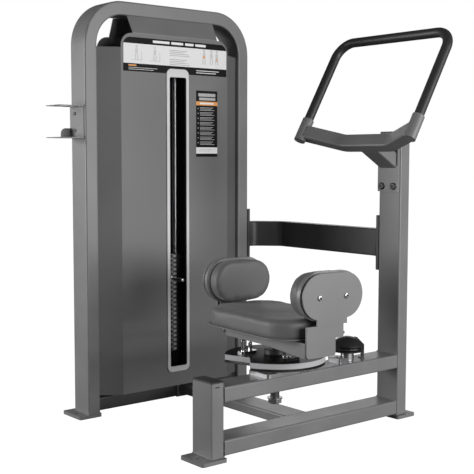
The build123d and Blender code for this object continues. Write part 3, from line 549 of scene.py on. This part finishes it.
class MACHINE_OT_seat(bpy.types.Operator):
    """Seat cushion with its cover and sewn piping"""
    bl_idname = "machine.seat"
    bl_label = "Seat cushion"

    def execute(self, context):
        pads = context.scene.machine_pads
        low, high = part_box("seat_cushion")
        middle = (low.z + high.z) / 2
        local = seat_matrix() @ Matrix.Translation((*SEAT_LOCAL, middle))
        seat = upholstered(
            "seat_cover", tuple(pads.seat_size), pads.seat_corner, SEAT_SOFT,
            local, pads.seat_cap, pads.voxel)
        finished(seat, "turntable", "pad_cover", replaces=["seat_cushion"])
        width, length, _ = pads.seat_size
        ring = seat_matrix() @ Matrix.Translation((*SEAT_LOCAL, low.z + SEAT_SEAM_UP))
        seam = slab((width - 0.002, length - 0.002, pads.piping), pads.seat_corner,
                    0.49 * pads.piping, 20, 4, ring)
        piping = smooth(link(seam, "seat_piping"))
        finished(piping, "turntable", "piping")
        return {"FINISHED"}


PAD_CENTRE = (0.015, 0.215, 0.519)
PAD_SCREW_Z = 0.516


def pad_place(side, y):
    """A side pad's own plan stands in the seat's XZ plane."""
    centre = Vector((PAD_CENTRE[0], side * y, PAD_CENTRE[2]))
    return seat_matrix() @ Matrix.Translation(centre) @ Matrix.Rotation(math.pi / 2, 4, "X")


class MACHINE_OT_side_pads(bpy.types.Operator):
    """Two round-ended side pads, their piping and the sewn seam"""
    bl_idname = "machine.side_pads"
    bl_label = "Side pads"

    def execute(self, context):
        pads = context.scene.machine_pads
        wide, thick, high = pads.pad_size
        for side, name in ((-1, "side_pad_near"), (1, "side_pad_far")):
            cover = upholstered(
                name, (wide, high, thick), high / 2, PAD_SOFT,
                pad_place(side, PAD_CENTRE[1]), pads.pad_cap, pads.voxel * 0.8)
            finished(cover, "turntable", "pad_cover")
        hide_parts("hip_pad_cushions")
        rings = []
        for side in (-1, 1):
            rings.append(slab(
                (wide + 0.004, high + 0.004, pads.piping), high / 2, 0.49 * pads.piping,
                22, 4, pad_place(side, PAD_SEAM_Y)))
        piping = smooth(link(merge(rings), "side_pad_piping"))
        finished(piping, "turntable", "piping")
        return {"FINISHED"}


# ------------------------------------------------------------------ print
def marks(name, key, body, boxes, face_y, lift):
    """Flat printed marks on the tower's front: (x, z, width, height, corner)."""
    parts = []
    for x, z, width, height, corner in boxes:
        place = upright_y(x, face_y - lift, z)
        parts.append(slab((width, height, 0.0006), corner, 0.0, 4, 1, place))
    return finished(link(merge(parts), name), body, key)


def text_block(x, z_top, width, rows, pitch, height):
    """Left-aligned rows of plain bars that stand for lines of print."""
    out = []
    for i in range(rows):
        length = width * (0.72 + 0.28 * math.sin(2.3 * i + 0.7) ** 2)
        out.append((x + length / 2, z_top - i * pitch, length, height, 0.0))
    return out


def figure(x, z, scale):
    """Plain pictogram: a head, a body and limbs as rounded bars."""
    return [
        (x, z + 0.021 * scale, 0.008 * scale, 0.008 * scale, 0.004 * scale),
        (x, z + 0.008 * scale, 0.009 * scale, 0.016 * scale, 0.003 * scale),
        (x - 0.004 * scale, z - 0.009 * scale, 0.003 * scale, 0.018 * scale, 0.0014 * scale),
        (x + 0.004 * scale, z - 0.009 * scale, 0.003 * scale, 0.018 * scale, 0.0014 * scale),
    ]


# Placard layout.  Places across are shares of its width, and a title bar is its start and
# its length.  Lengths, drops and lifts are metres.
TITLE_BARS = ((0.27, 0.075), (0.445, 0.055), (0.58, 0.04), (0.68, 0.05))
TITLE_DOWN = 0.0105
USER_FIGURES = (0.12, 0.29)
MUSCLE_FIGURES = (0.77, 0.845, 0.90)
TEXT_AT = 0.43
PRINT_LIFT = 0.0004
OVERPRINT_LIFT = 0.0007


class MACHINE_OT_placard(bpy.types.Operator):
    """Generic marks on the header placard"""
    bl_idname = "machine.placard"
    bl_label = "Placard marks"

    def execute(self, context):
        low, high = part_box("placard")
        width = high.x - low.x
        head = high.z - TITLE_DOWN
        face = low.y
        header = []
        for start, length in TITLE_BARS:
            x = low.x + width * start + 0.5 * length
            header.append((x, head, length, 0.009, 0.002))
        marks("placard_title", "white_print", "frame", header, face, PRINT_LIFT)
        body_top = high.z - 0.036
        text_x = low.x + width * TEXT_AT
        middle = []
        for top in (body_top, body_top - 0.033):
            middle += text_block(text_x, top, 0.095, 4, 0.0062, 0.0022)
        marks("placard_text", "grey_print", "frame", middle, face, PRINT_LIFT)
        sketch = []
        for share in USER_FIGURES:
            x = low.x + width * share
            z = high.z - 0.058
            sketch += figure(x, z, 1.2)
            sketch.append((x, z - 0.022, 0.045, 0.0022, 0.0))
            sketch.append((x + 0.022, z - 0.006, 0.0022, 0.032, 0.0))
        for share in MUSCLE_FIGURES:
            sketch += figure(low.x + width * share, high.z - 0.056, 1.3)
        marks("placard_sketch", "faint_print", "frame", sketch, face, PRINT_LIFT)
        hot = [(low.x + width * 0.77, high.z - 0.052, 0.010, 0.010, 0.004),
               (low.x + width * 0.90, high.z - 0.060, 0.004, 0.012, 0.0018),
               (low.x + width * 0.08, low.z + 0.021, 0.034, 0.005, 0.001)]
        marks("placard_accent", "accent_print", "frame", hot, face, OVERPRINT_LIFT)
        foot = text_block(low.x + width * 0.045, low.z + 0.013, 0.150, 2, 0.006, 0.0018)
        foot += text_block(low.x + width * 0.69, low.z + 0.017, 0.130, 2, 0.008, 0.0034)
        marks("placard_foot", "faint_print", "frame", foot, face, PRINT_LIFT)
        return {"FINISHED"}


class MACHINE_OT_label(bpy.types.Operator):
    """Generic marks on the instruction sticker"""
    bl_idname = "machine.label"
    bl_label = "Sticker marks"

    def execute(self, context):
        low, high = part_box("instruction_label")
        face = low.y
        middle = (low.x + high.x) / 2
        title = [(middle, high.z - 0.016, 0.082, 0.012, 0.002),
                 (middle + 0.002, high.z - 0.031, 0.078, 0.010, 0.002)]
        marks("label_title", "grey_print", "frame", title, face, PRINT_LIFT)
        band = [(middle, high.z - 0.048, 0.104, 0.015, 0.001)]
        marks("label_accent", "accent_print", "frame", band, face, PRINT_LIFT)
        rows = []
        for i in range(8):
            top = high.z - 0.064 - i * 0.0185
            rows += text_block(low.x + 0.018, top, 0.076, 3, 0.0048, 0.0020)
            rows.append((low.x + 0.009, top - 0.003, 0.004, 0.004, 0.0015))
        marks("label_text", "grey_print", "frame", rows, face, PRINT_LIFT)
        note = text_block(low.x + 0.014, low.z + 0.028, 0.074, 2, 0.0062, 0.0018)
        marks("label_note", "faint_print", "frame", note, face, PRINT_LIFT)
        bars = [(middle, high.z - 0.048, 0.066, 0.006, 0.001)]
        marks("label_band_mark", "white_print", "frame", bars, face, 0.0008)
        return {"FINISHED"}


# ------------------------------------------------------------------ welds and fasteners
TUBE = (0.100, 0.050)
BEAD = 0.0035
BEAD_OUT = 0.0022


def bead(wide, high, place, corner=0.007):
    """Weld bead round a tube's end, as a thin slab a little wider than the tube."""
    size = (wide + 2 * BEAD_OUT, high + 2 * BEAD_OUT, BEAD)
    return slab(size, corner, 0.48 * BEAD, 4, 3, place)


class MACHINE_OT_welds(bpy.types.Operator):
    """Weld beads where the frame tubes meet"""
    bl_idname = "machine.welds"
    bl_label = "Weld beads"

    def execute(self, context):
        half = BEAD / 2
        beads = []
        for node in ("lower_beam", "upper_beam"):
            low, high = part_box(node)
            middle = (low + high) / 2
            for x in (low.x + half, high.x - half):
                beads.append(bead(*TUBE, upright_x(x, middle.y, middle.z)))
        low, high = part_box("tower_crossmember")
        middle = (low + high) / 2
        for x in (low.x + half, high.x - half):
            beads.append(bead(0.05, 0.05, upright_x(x, middle.y, middle.z)))
        for node in ("short_post", "right_post"):
            low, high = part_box(node)
            middle = (low + high) / 2
            beads.append(bead(TUBE[1], TUBE[0], level(middle.x, middle.y, low.z + half)))
        low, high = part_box("tower_hoop")
        middle = (low + high) / 2
        for x in (low.x + TUBE[1] / 2, high.x - TUBE[1] / 2):
            beads.append(bead(TUBE[1], TUBE[0], level(x, middle.y, low.z + half)))
        welds = smooth(link(merge(beads), "weld_beads"))
        finished(welds, "frame", "frame_paint")
        low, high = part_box("back_beam")
        middle = (low + high) / 2
        ends = [bead(TUBE[1], TUBE[0], upright_x(low.x + half, high.y - 0.025, middle.z)),
                bead(TUBE[1], TUBE[0], upright_y(high.x - 0.025, low.y + half, middle.z))]
        rear = smooth(link(merge(ends), "rear_weld_beads"))
        finished(rear, "frame", "dark_paint")
        return {"FINISHED"}


def socket_disc(place, radius=0.006):
    """Six-sided socket of a screw's head as a thin disc of painted shade, near black where the
    recess would be dark.
    """
    bm = bmesh.new()
    bmesh.ops.create_cone(
        bm, cap_ends=True, segments=6, radius1=radius, radius2=radius * 0.9, depth=0.001)
    bmesh.ops.transform(bm, matrix=place, verts=bm.verts)
    return bm


# Bolt rows: across the hoop's right face, up it, up the tall post and along its flange.
HOOP_BOLT_Y = (0.018, 0.082)
HOOP_BOLT_Z = (0.559, 0.709)
POST_BOLT_Z = (0.555, 0.707)
ARM_BOLT_Y = (-0.027, 0.027)
ARM_BOLT_Z = 0.838
PAD_SCREW_X = (-0.039, 0.068)
# A flange and a bolt head stand this far off the tube.
HEAD_OUT = 0.019
PAD_HEAD_OUT = 0.2732


class MACHINE_OT_fasteners(bpy.types.Operator):
    """Hexagon recesses of the bolts and pad screws, as discs of painted shade"""
    bl_idname = "machine.fasteners"
    bl_label = "Fastener recesses"

    def execute(self, context):
        hoop_low, hoop_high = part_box("tower_hoop")
        discs = []
        for y in HOOP_BOLT_Y:
            for z in HOOP_BOLT_Z:
                place = upright_x(hoop_high.x + HEAD_OUT, hoop_low.y + y, z)
                discs.append(socket_disc(place))
        post_low, post_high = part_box("right_post")
        middle = (post_low + post_high) / 2
        for z in POST_BOLT_Z:
            discs.append(socket_disc(upright_y(middle.x, post_high.y + HEAD_OUT, z)))
        for y in ARM_BOLT_Y:
            place = upright_x(post_low.x - HEAD_OUT, middle.y + y, ARM_BOLT_Z)
            discs.append(socket_disc(place))
        finished(link(merge(discs), "bolt_recesses"), "frame", "recess_painted_shade")
        discs = []
        for side in (-1, 1):
            for x in PAD_SCREW_X:
                centre = Vector((x, side * PAD_HEAD_OUT, PAD_SCREW_Z))
                turn = Matrix.Rotation(math.pi / 2, 4, "X")
                discs.append(socket_disc(
                    seat_matrix() @ Matrix.Translation(centre) @ turn, 0.0045))
        finished(link(merge(discs), "pad_screw_recesses"), "turntable",
                 "recess_painted_shade")
        return {"FINISHED"}


# ------------------------------------------------------------------ stack and cable
PLATE_PITCH = 0.017
# Turned outlines as (radius, height): the cable's swaged sleeve and the cam's lock collar.
SLEEVE = ((0, 0), (0.0075, 0), (0.0075, 0.020), (0.0055, 0.026), (0.0045, 0.045),
          (0.0035, 0.050), (0, 0.050))
COLLAR = ((0.0222, 0.0), (0.034, 0.0), (0.036, 0.002), (0.036, 0.016), (0.034, 0.018),
          (0.0222, 0.018))
# The cam's lower face to its top face.
CAM_HIGH = 0.027


def lathe(profile, place, steps=32):
    """Turned piece about Z from (radius, height) pairs; off the axis its bore stays open."""
    bm = bmesh.new()
    verts = [bm.verts.new((r, 0, z)) for r, z in profile]
    for a, b in zip(verts, verts[1:]):
        bm.edges.new((a, b))
    bmesh.ops.spin(
        bm, geom=list(bm.verts) + list(bm.edges), cent=(0, 0, 0), axis=(0, 0, 1),
        angle=2 * math.pi, steps=steps, use_merge=True, use_duplicate=False)
    bmesh.ops.remove_doubles(bm, verts=bm.verts, dist=1e-6)
    bmesh.ops.recalc_face_normals(bm, faces=bm.faces)
    bmesh.ops.transform(bm, matrix=place, verts=bm.verts)
    return bm


class MACHINE_OT_cable(bpy.types.Operator):
    """The cable above the stack as a fixed cylinder with a mesh of its own, and the swaged
    sleeve that rides on the lifted stack
    """
    bl_idname = "machine.cable"
    bl_label = "Stack cable"

    def execute(self, context):
        low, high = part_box("cable_stack_run")
        middle = (low + high) / 2
        radius = (high.x - low.x) / 2
        length = high.z - low.z
        bm = bmesh.new()
        bmesh.ops.create_cone(
            bm, cap_ends=True, segments=20, radius1=radius, radius2=radius, depth=length)
        bmesh.ops.translate(bm, vec=middle, verts=bm.verts)
        run = smooth(link(bm, "stack_cable"))
        finished(run, "frame", "cable_coat", replaces=["cable_stack_run"])
        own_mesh(run)
        sleeve = lathe(SLEEVE, level(middle.x, middle.y, low.z - 0.001))
        fitting = smooth(link(sleeve, "cable_sleeve"))
        finished(fitting, "lifted_stack", "bright_steel")
        return {"FINISHED"}


class MACHINE_OT_stack(bpy.types.Operator):
    """A small lighter tab on the front edge of every weight plate, and a thin bar of painted
    highlight along its top edge
    """
    bl_idname = "machine.stack"
    bl_label = "Stack tabs"

    def execute(self, context):
        for node, body, name in (("rest_plates", "frame", "rest_plate_tabs_and_highlights"),
                                 ("lifted_plates", "lifted_stack", "lifted_plate_tabs_and_highlights"),
                                 ("head_plate", "lifted_stack", "head_plate_tab_and_highlight")):
            low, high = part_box(node)
            count = round((high.z - low.z) / PLATE_PITCH)
            x = (low.x + high.x) / 2
            tabs_and_highlights = []
            for i in range(count):
                z = low.z + (i + 0.5) * PLATE_PITCH
                place = upright_y(x + 0.0185, low.y - 0.0003, z)
                tabs_and_highlights.append(slab((0.013, 0.009, 0.0005), 0.001, 0.0, 3, 1, place))
                # The thin bar at each plate's top edge is painted highlight.
                tabs_and_highlights.append(slab((0.020, 0.0015, 0.0005), 0.0, 0.0, 3, 1,
                                 upright_y(x, low.y - 0.0003, z + 0.0075)))
            finished(link(merge(tabs_and_highlights), name), body, "tab_mark_and_edge_highlight")
        return {"FINISHED"}


class MACHINE_OT_cam_trim(bpy.types.Operator):
    """The shaft's lock collar on the cam"""
    bl_idname = "machine.cam_trim"
    bl_label = "Cam trim"

    def execute(self, context):
        axis = seat_axis()
        low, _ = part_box("cam_flange")
        top = low.z + CAM_HIGH
        collar = lathe(COLLAR, level(axis.x, axis.y, top), 48)
        finished(smooth(link(collar, "shaft_collar")), "turntable", "dark_paint")
        return {"FINISHED"}


# ------------------------------------------------------------------ small trim
# Bezel below and above its window, the window's half width, a strip's width and depth.
SLOT_BELOW = 0.021
SLOT_ABOVE = 0.031
SLOT_HALF = 0.0385
GASKET = (0.0022, 0.009)


class MACHINE_OT_trim(bpy.types.Operator):
    """The slot's gasket strips and the short post's vent, a patch of painted shade"""
    bl_idname = "machine.trim"
    bl_label = "Small trim"

    def execute(self, context):
        low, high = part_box("slot_bezel")
        window_low = low.z + SLOT_BELOW
        window_high = high.z - SLOT_ABOVE
        middle = (low.x + high.x) / 2
        level_z = (window_low + window_high) / 2
        size = (GASKET[0], window_high - window_low, GASKET[1])
        strips = []
        for side in (-1, 1):
            x = middle + side * (SLOT_HALF - 0.0012)
            place = upright_y(x, high.y + 0.001, level_z)
            strips.append(slab(size, 0.0, 0.0006, 1, 2, place))
        finished(link(merge(strips), "slot_gasket"), "frame", "black_rubber")
        low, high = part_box("short_post")
        x = (low.x + high.x) / 2
        place = upright_y(x - 0.002, low.y - 0.0001, high.z - 0.012)
        # The vent is a thin patch of painted shade, near black where the opening would be
        # dark.
        vent = slab((0.018, 0.0035, 0.0006), 0.0016, 0.0, 4, 1, place)
        finished(link(vent, "post_vent"), "frame", "recess_painted_shade")
        return {"FINISHED"}


# ------------------------------------------------------------------ finishes and stage
class MACHINE_OT_finishes(bpy.types.Operator):
    """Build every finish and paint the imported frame"""
    bl_idname = "machine.finishes"
    bl_label = "Finishes"

    def execute(self, context):
        build_groups()
        build_paints(context.scene.machine_finish)
        paint_frame_nodes()
        return {"FINISHED"}


def area_light(name, place, target, size, power):
    light = bpy.data.lights.new(name, "AREA")
    light.shape = "RECTANGLE"
    light.size = size[0]
    light.size_y = size[1]
    light.energy = power
    obj = bpy.data.objects.new(name, light)
    bpy.context.scene.collection.objects.link(obj)
    obj.location = place
    aim = Vector(target) - Vector(place)
    obj.rotation_euler = aim.to_track_quat("-Z", "Y").to_euler()
    return obj


def pale_world(strength):
    """White to the eye and a soft dim fill to the machine."""
    world = bpy.data.worlds.new("studio")
    bpy.context.scene.world = world
    world.use_nodes = True
    tree = world.node_tree
    tree.nodes.clear()
    seen = tree.nodes.new("ShaderNodeBackground")
    seen.inputs["Color"].default_value = (1, 1, 1, 1)
    seen.inputs["Strength"].default_value = 1.0
    fill = tree.nodes.new("ShaderNodeBackground")
    fill.inputs["Color"].default_value = (1, 1, 1, 1)
    fill.inputs["Strength"].default_value = strength
    path = tree.nodes.new("ShaderNodeLightPath")
    mix = tree.nodes.new("ShaderNodeMixShader")
    out = tree.nodes.new("ShaderNodeOutputWorld")
    tree.links.new(path.outputs["Is Camera Ray"], mix.inputs["Fac"])
    tree.links.new(fill.outputs["Background"], mix.inputs[1])
    tree.links.new(seen.outputs["Background"], mix.inputs[2])
    tree.links.new(mix.outputs["Shader"], out.inputs["Surface"])


def pale_floor():
    """Plain pale floor without a horizon."""
    bm = bmesh.new()
    bmesh.ops.create_grid(bm, x_segments=1, y_segments=1, size=30.0)
    floor = link(bm, "floor")
    material = bpy.data.materials.new("floor_white")
    material.use_nodes = True
    tree = material.node_tree
    shader = tree.nodes["Principled BSDF"]
    shader.inputs["Base Color"].default_value = (0.12, 0.12, 0.12, 1)
    shader.inputs["Roughness"].default_value = 0.9
    shader.inputs["Specular IOR Level"].default_value = 0.0
    shader.inputs["Emission Color"].default_value = (1, 1, 1, 1)
    path = tree.nodes.new("ShaderNodeLightPath")
    glow = tree.nodes.new("ShaderNodeMath")
    glow.operation = "MULTIPLY"
    glow.inputs[1].default_value = 1.0
    tree.links.new(path.outputs["Is Camera Ray"], glow.inputs[0])
    tree.links.new(glow.outputs["Value"], shader.inputs["Emission Strength"])
    floor.data.materials.append(material)


# Soft lights: name, place, size and watts.
LIGHTS = (
    ("front_light", (0.9, -5.0, 1.2), (5.0, 2.2), 270),
    ("left_light", (-3.9, 2.6, 1.2), (2.2, 1.8), 170),
    ("rear_light", (3.6, 3.6, 1.6), (3.0, 1.6), 25),
)
SKY_FILL = 0.10


class MACHINE_OT_stage(bpy.types.Operator):
    """Camera, pale floor and soft lights"""
    bl_idname = "machine.stage"
    bl_label = "Stage"

    def execute(self, context):
        stage = context.scene.machine_stage
        camera = bpy.data.cameras.new("camera")
        camera.lens = stage.lens
        camera.sensor_width = 36.0
        camera.shift_x = stage.shift
        camera.clip_end = 100.0
        obj = bpy.data.objects.new("camera", camera)
        context.scene.collection.objects.link(obj)
        obj.location = stage.eye
        flat = math.cos(stage.pitch)
        aim = Vector((math.sin(stage.heading) * flat, math.cos(stage.heading) * flat,
                      -math.sin(stage.pitch)))
        obj.rotation_euler = aim.to_track_quat("-Z", "Y").to_euler()
        context.scene.camera = obj
        pale_world(SKY_FILL)
        pale_floor()
        middle = (CAD_BOX[0] + CAD_BOX[1]) / 2
        for name, place, size, watts in LIGHTS:
            area_light(name, place, middle, size, watts)
        context.scene.view_settings.view_transform = "Standard"
        return {"FINISHED"}


class MACHINE_PT_panel(bpy.types.Panel):
    """Lists the machine's pieces in build order"""
    bl_idname = "MACHINE_PT_panel"
    bl_label = "Rotary machine"
    bl_space_type = "VIEW_3D"
    bl_region_type = "UI"
    bl_category = "Machine"

    def draw(self, context):
        for operator in OPERATORS:
            self.layout.operator(operator.bl_idname)
        for group in ("machine_finish", "machine_pads", "machine_stage"):
            settings = getattr(context.scene, group)
            box = self.layout.box()
            for name in settings.__annotations__:
                box.prop(settings, name)


OPERATORS = (
    MACHINE_OT_stage, MACHINE_OT_finishes, MACHINE_OT_seat, MACHINE_OT_side_pads,
    MACHINE_OT_placard, MACHINE_OT_label, MACHINE_OT_welds, MACHINE_OT_fasteners,
    MACHINE_OT_cable, MACHINE_OT_stack, MACHINE_OT_cam_trim, MACHINE_OT_trim,
)
CLASSES = (FinishSettings, PadSettings, StageSettings, *OPERATORS, MACHINE_PT_panel)


def register():
    for cls in CLASSES:
        bpy.utils.register_class(cls)
    bpy.types.Scene.machine_finish = bpy.props.PointerProperty(type=FinishSettings)
    bpy.types.Scene.machine_pads = bpy.props.PointerProperty(type=PadSettings)
    bpy.types.Scene.machine_stage = bpy.props.PointerProperty(type=StageSettings)


def unregister():
    del bpy.types.Scene.machine_finish
    del bpy.types.Scene.machine_pads
    del bpy.types.Scene.machine_stage
    for cls in reversed(CLASSES):
        bpy.utils.unregister_class(cls)


def main():
    register()
    for operator in OPERATORS:
        family, action = operator.bl_idname.split(".")
        getattr(getattr(bpy.ops, family), action)()


if __name__ == "__main__":
    main()
